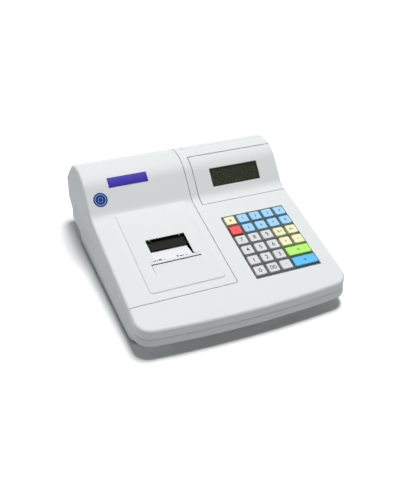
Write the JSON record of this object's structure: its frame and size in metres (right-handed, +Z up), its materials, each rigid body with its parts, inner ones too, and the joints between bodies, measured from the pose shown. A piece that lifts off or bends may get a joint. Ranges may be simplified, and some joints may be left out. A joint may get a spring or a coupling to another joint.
{
  "type": "ticket register",
  "caption": "Compact electronic cash register with a sloping keypad deck, a rounded display hump and a lifting receipt printer lid.",
  "frame": {"origin": "centre of the footprint on the table, under the feet", "axes": "+X to the user's right, +Y from the user to the back, +Z up"},
  "size_m": [0.294, 0.335, 0.1253],
  "materials": {
    "case": "fine textured, cool light grey",
    "dark_grey": "satin",
    "black": "satin",
    "rubber": "matte",
    "steel": "satin",
    "smoked_window": "gloss, smoked",
    "display_glass": "gloss, dark olive",
    "circuit_board": "green solder mask",
    "paper": "matte white",
    "gear_plastic": "satin",
    "cell_wrap": "shrink sleeve",
    "key_white": "satin",
    "key_yellow": "satin",
    "key_light_blue": "satin",
    "key_red": "satin",
    "key_green": "satin",
    "key_blue": "satin"
  },
  "bodies": {
    "housing": {"base_tray": "case", "top_cover": "case", "lid_hinge_pin": "steel", "display_bezel": "case", "display_lens": "smoked_window", "operator_lcd": "display_glass", "rear_display_cover": "case", "customer_lens": "smoked_window", "customer_lcd": "display_glass", "keypad_bezel": "dark_grey", "keypad_mat": "rubber", "keypad_board": "circuit_board", "printer_frame": "black", "stepper_motor": "steel", "thermal_head": "steel", "receipt_paper": "paper", "main_board": "circuit_board", "memory_module": "black", "battery_pack": "cell_wrap", "dc_socket": "black", "interface_socket": "black", "foot_front_left": "rubber", "foot_front_right": "rubber", "foot_rear_left": "rubber", "foot_rear_right": "rubber"},
    "printer_lid": {"printer_cover": "case", "tear_bar": "case"},
    "paper_roll": {"paper_roll": "paper"},
    "platen": {"platen_roller": "rubber", "platen_gear": "gear_plastic"},
    "pinion": {"motor_pinion": "gear_plastic"},
    "rocker": {"power_rocker": "black"},
    "key_yellow_1": {"key_yellow_1": "key_yellow"},
    "key_light_blue_1": {"key_light_blue_1": "key_light_blue"},
    "key_light_blue_2": {"key_light_blue_2": "key_light_blue"},
    "key_light_blue_3": {"key_light_blue_3": "key_light_blue"},
    "key_light_blue_4": {"key_light_blue_4": "key_light_blue"},
    "key_red": {"key_red": "key_red"},
    "key_light_blue_5": {"key_light_blue_5": "key_light_blue"},
    "key_light_blue_6": {"key_light_blue_6": "key_light_blue"},
    "key_light_blue_7": {"key_light_blue_7": "key_light_blue"},
    "key_light_blue_8": {"key_light_blue_8": "key_light_blue"},
    "key_7": {"key_7": "key_white"},
    "key_8": {"key_8": "key_white"},
    "key_9": {"key_9": "key_white"},
    "key_yellow_2": {"key_yellow_2": "key_yellow"},
    "key_yellow_3": {"key_yellow_3": "key_yellow"},
    "key_4": {"key_4": "key_white"},
    "key_5": {"key_5": "key_white"},
    "key_6": {"key_6": "key_white"},
    "key_yellow_4": {"key_yellow_4": "key_yellow"},
    "key_yellow_5": {"key_yellow_5": "key_yellow"},
    "key_1": {"key_1": "key_white"},
    "key_2": {"key_2": "key_white"},
    "key_3": {"key_3": "key_white"},
    "key_green_wide": {"key_green_wide": "key_green"},
    "key_0": {"key_0": "key_white"},
    "key_00": {"key_00": "key_white"},
    "key_point": {"key_point": "key_white"},
    "key_blue_wide": {"key_blue_wide": "key_blue"}
  },
  "joints": [
    {"name": "lid_hinge", "type": "hinge", "parent": "housing", "child": "printer_lid", "pos_m": [-0.0712, 0.1617, 0.0533], "axis": [-1, 0, 0], "range_deg": [0, 70]},
    {"name": "roll_spin", "type": "hinge", "parent": "housing", "child": "paper_roll", "pos_m": [-0.0612, 0.06333, 0.05201], "axis": [1, 0, 0], "continuous": true},
    {"name": "platen_spin", "type": "hinge", "parent": "housing", "child": "platen", "pos_m": [-0.0612, -0.02633, 0.05201], "axis": [1, 0, 0], "continuous": true},
    {"name": "pinion_spin", "type": "hinge", "parent": "housing", "child": "pinion", "pos_m": [-0.0239, -0.01346, 0.04121], "axis": [1, 0, 0], "continuous": true},
    {"name": "rocker_tilt", "type": "hinge", "parent": "housing", "child": "rocker", "pos_m": [0.034, 0.16285, 0.03715], "axis": [1, 0, 0], "range_deg": [0, 16]},
    {"name": "key_yellow_1_press", "type": "slide", "parent": "housing", "child": "key_yellow_1", "axis": [0, 0.1908, -0.9816], "range_m": [0, 0.0025], "stiffness_N_per_m": 200, "springref_m": -0.0005},
    {"name": "key_light_blue_1_press", "type": "slide", "parent": "housing", "child": "key_light_blue_1", "axis": [0, 0.1908, -0.9816], "range_m": [0, 0.0025], "stiffness_N_per_m": 200, "springref_m": -0.0005},
    {"name": "key_light_blue_2_press", "type": "slide", "parent": "housing", "child": "key_light_blue_2", "axis": [0, 0.1908, -0.9816], "range_m": [0, 0.0025], "stiffness_N_per_m": 200, "springref_m": -0.0005},
    {"name": "key_light_blue_3_press", "type": "slide", "parent": "housing", "child": "key_light_blue_3", "axis": [0, 0.1908, -0.9816], "range_m": [0, 0.0025], "stiffness_N_per_m": 200, "springref_m": -0.0005},
    {"name": "key_light_blue_4_press", "type": "slide", "parent": "housing", "child": "key_light_blue_4", "axis": [0, 0.1908, -0.9816], "range_m": [0, 0.0025], "stiffness_N_per_m": 200, "springref_m": -0.0005},
    {"name": "key_red_press", "type": "slide", "parent": "housing", "child": "key_red", "axis": [0, 0.1908, -0.9816], "range_m": [0, 0.0025], "stiffness_N_per_m": 200, "springref_m": -0.0005},
    {"name": "key_light_blue_5_press", "type": "slide", "parent": "housing", "child": "key_light_blue_5", "axis": [0, 0.1908, -0.9816], "range_m": [0, 0.0025], "stiffness_N_per_m": 200, "springref_m": -0.0005},
    {"name": "key_light_blue_6_press", "type": "slide", "parent": "housing", "child": "key_light_blue_6", "axis": [0, 0.1908, -0.9816], "range_m": [0, 0.0025], "stiffness_N_per_m": 200, "springref_m": -0.0005},
    {"name": "key_light_blue_7_press", "type": "slide", "parent": "housing", "child": "key_light_blue_7", "axis": [0, 0.1908, -0.9816], "range_m": [0, 0.0025], "stiffness_N_per_m": 200, "springref_m": -0.0005},
    {"name": "key_light_blue_8_press", "type": "slide", "parent": "housing", "child": "key_light_blue_8", "axis": [0, 0.1908, -0.9816], "range_m": [0, 0.0025], "stiffness_N_per_m": 200, "springref_m": -0.0005},
    {"name": "key_7_press", "type": "slide", "parent": "housing", "child": "key_7", "axis": [0, 0.1908, -0.9816], "range_m": [0, 0.0025], "stiffness_N_per_m": 200, "springref_m": -0.0005},
    {"name": "key_8_press", "type": "slide", "parent": "housing", "child": "key_8", "axis": [0, 0.1908, -0.9816], "range_m": [0, 0.0025], "stiffness_N_per_m": 200, "springref_m": -0.0005},
    {"name": "key_9_press", "type": "slide", "parent": "housing", "child": "key_9", "axis": [0, 0.1908, -0.9816], "range_m": [0, 0.0025], "stiffness_N_per_m": 200, "springref_m": -0.0005},
    {"name": "key_yellow_2_press", "type": "slide", "parent": "housing", "child": "key_yellow_2", "axis": [0, 0.1908, -0.9816], "range_m": [0, 0.0025], "stiffness_N_per_m": 200, "springref_m": -0.0005},
    {"name": "key_yellow_3_press", "type": "slide", "parent": "housing", "child": "key_yellow_3", "axis": [0, 0.1908, -0.9816], "range_m": [0, 0.0025], "stiffness_N_per_m": 200, "springref_m": -0.0005},
    {"name": "key_4_press", "type": "slide", "parent": "housing", "child": "key_4", "axis": [0, 0.1908, -0.9816], "range_m": [0, 0.0025], "stiffness_N_per_m": 200, "springref_m": -0.0005},
    {"name": "key_5_press", "type": "slide", "parent": "housing", "child": "key_5", "axis": [0, 0.1908, -0.9816], "range_m": [0, 0.0025], "stiffness_N_per_m": 200, "springref_m": -0.0005},
    {"name": "key_6_press", "type": "slide", "parent": "housing", "child": "key_6", "axis": [0, 0.1908, -0.9816], "range_m": [0, 0.0025], "stiffness_N_per_m": 200, "springref_m": -0.0005},
    {"name": "key_yellow_4_press", "type": "slide", "parent": "housing", "child": "key_yellow_4", "axis": [0, 0.1908, -0.9816], "range_m": [0, 0.0025], "stiffness_N_per_m": 200, "springref_m": -0.0005},
    {"name": "key_yellow_5_press", "type": "slide", "parent": "housing", "child": "key_yellow_5", "axis": [0, 0.1908, -0.9816], "range_m": [0, 0.0025], "stiffness_N_per_m": 200, "springref_m": -0.0005},
    {"name": "key_1_press", "type": "slide", "parent": "housing", "child": "key_1", "axis": [0, 0.1908, -0.9816], "range_m": [0, 0.0025], "stiffness_N_per_m": 200, "springref_m": -0.0005},
    {"name": "key_2_press", "type": "slide", "parent": "housing", "child": "key_2", "axis": [0, 0.1908, -0.9816], "range_m": [0, 0.0025], "stiffness_N_per_m": 200, "springref_m": -0.0005},
    {"name": "key_3_press", "type": "slide", "parent": "housing", "child": "key_3", "axis": [0, 0.1908, -0.9816], "range_m": [0, 0.0025], "stiffness_N_per_m": 200, "springref_m": -0.0005},
    {"name": "key_green_wide_press", "type": "slide", "parent": "housing", "child": "key_green_wide", "axis": [0, 0.1908, -0.9816], "range_m": [0, 0.0025], "stiffness_N_per_m": 200, "springref_m": -0.0005},
    {"name": "key_0_press", "type": "slide", "parent": "housing", "child": "key_0", "axis": [0, 0.1908, -0.9816], "range_m": [0, 0.0025], "stiffness_N_per_m": 200, "springref_m": -0.0005},
    {"name": "key_00_press", "type": "slide", "parent": "housing", "child": "key_00", "axis": [0, 0.1908, -0.9816], "range_m": [0, 0.0025], "stiffness_N_per_m": 200, "springref_m": -0.0005},
    {"name": "key_point_press", "type": "slide", "parent": "housing", "child": "key_point", "axis": [0, 0.1908, -0.9816], "range_m": [0, 0.0025], "stiffness_N_per_m": 200, "springref_m": -0.0005},
    {"name": "key_blue_wide_press", "type": "slide", "parent": "housing", "child": "key_blue_wide", "axis": [0, 0.1908, -0.9816], "range_m": [0, 0.0025], "stiffness_N_per_m": 200, "springref_m": -0.0005}
  ],
  "couplings": [
    {"joint": "platen_spin", "follows": "roll_spin", "ratio": -4},
    {"joint": "pinion_spin", "follows": "roll_spin", "ratio": 10}
  ]
}
